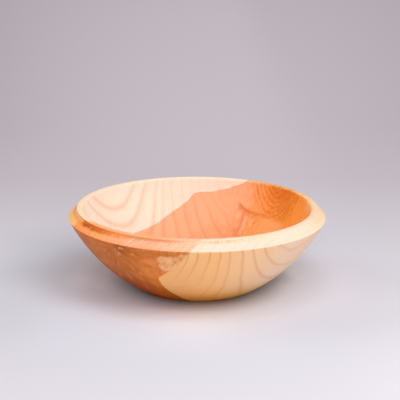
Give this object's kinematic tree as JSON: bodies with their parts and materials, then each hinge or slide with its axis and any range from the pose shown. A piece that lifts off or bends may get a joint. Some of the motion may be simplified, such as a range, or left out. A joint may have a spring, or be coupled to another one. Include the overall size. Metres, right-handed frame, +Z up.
{
  "type": "wooden bowl",
  "caption": "Shallow turned wooden bowl with a flat foot, a curved wall, a sharp ridge, a sloping flange inside it and a stepped flat lip, in two-tone wood.",
  "frame": {"origin": "centre of the flat foot, on the surface that the bowl stands on", "axes": "+Z up along the turning axis through the mouth; +X to the right and +Y away from the viewer in the reference view"},
  "size_m": [0.1796, 0.1796, 0.0558],
  "materials": {
    "bowl": "satin"
  },
  "bodies": {
    "root": {"bowl": "bowl"}
  },
  "joints": []
}
